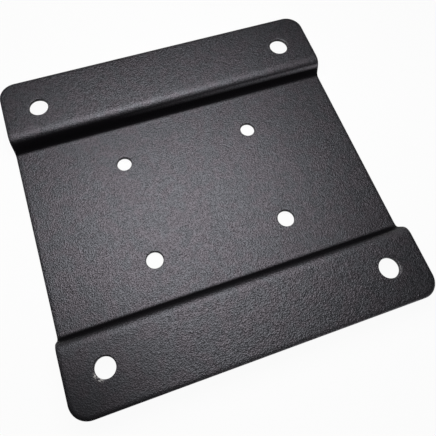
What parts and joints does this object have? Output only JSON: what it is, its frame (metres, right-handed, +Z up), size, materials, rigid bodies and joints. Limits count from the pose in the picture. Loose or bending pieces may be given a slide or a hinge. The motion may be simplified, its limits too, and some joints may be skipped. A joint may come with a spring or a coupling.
{
  "type": "adapter plate",
  "caption": "Square folded sheet-steel adapter plate: a recessed pan between raised flanges, with a square hole pattern in the flanges and a smaller rectangular one in the pan.",
  "frame": {"origin": "middle of the underside of the pan, on which the plate rests", "axes": "+X along the folds, +Y across the folds from one flange to the other, +Z up from the pan's underside towards the raised flanges"},
  "size_m": [0.095, 0.095, 0.0062],
  "materials": {
    "black_powder_coat": "fine-textured black powder coat, satin, slightly rough, worn to bare metal in chips on a few hole rims"
  },
  "bodies": {
    "root": {"adapter_plate": "black_powder_coat"}
  },
  "joints": []
}
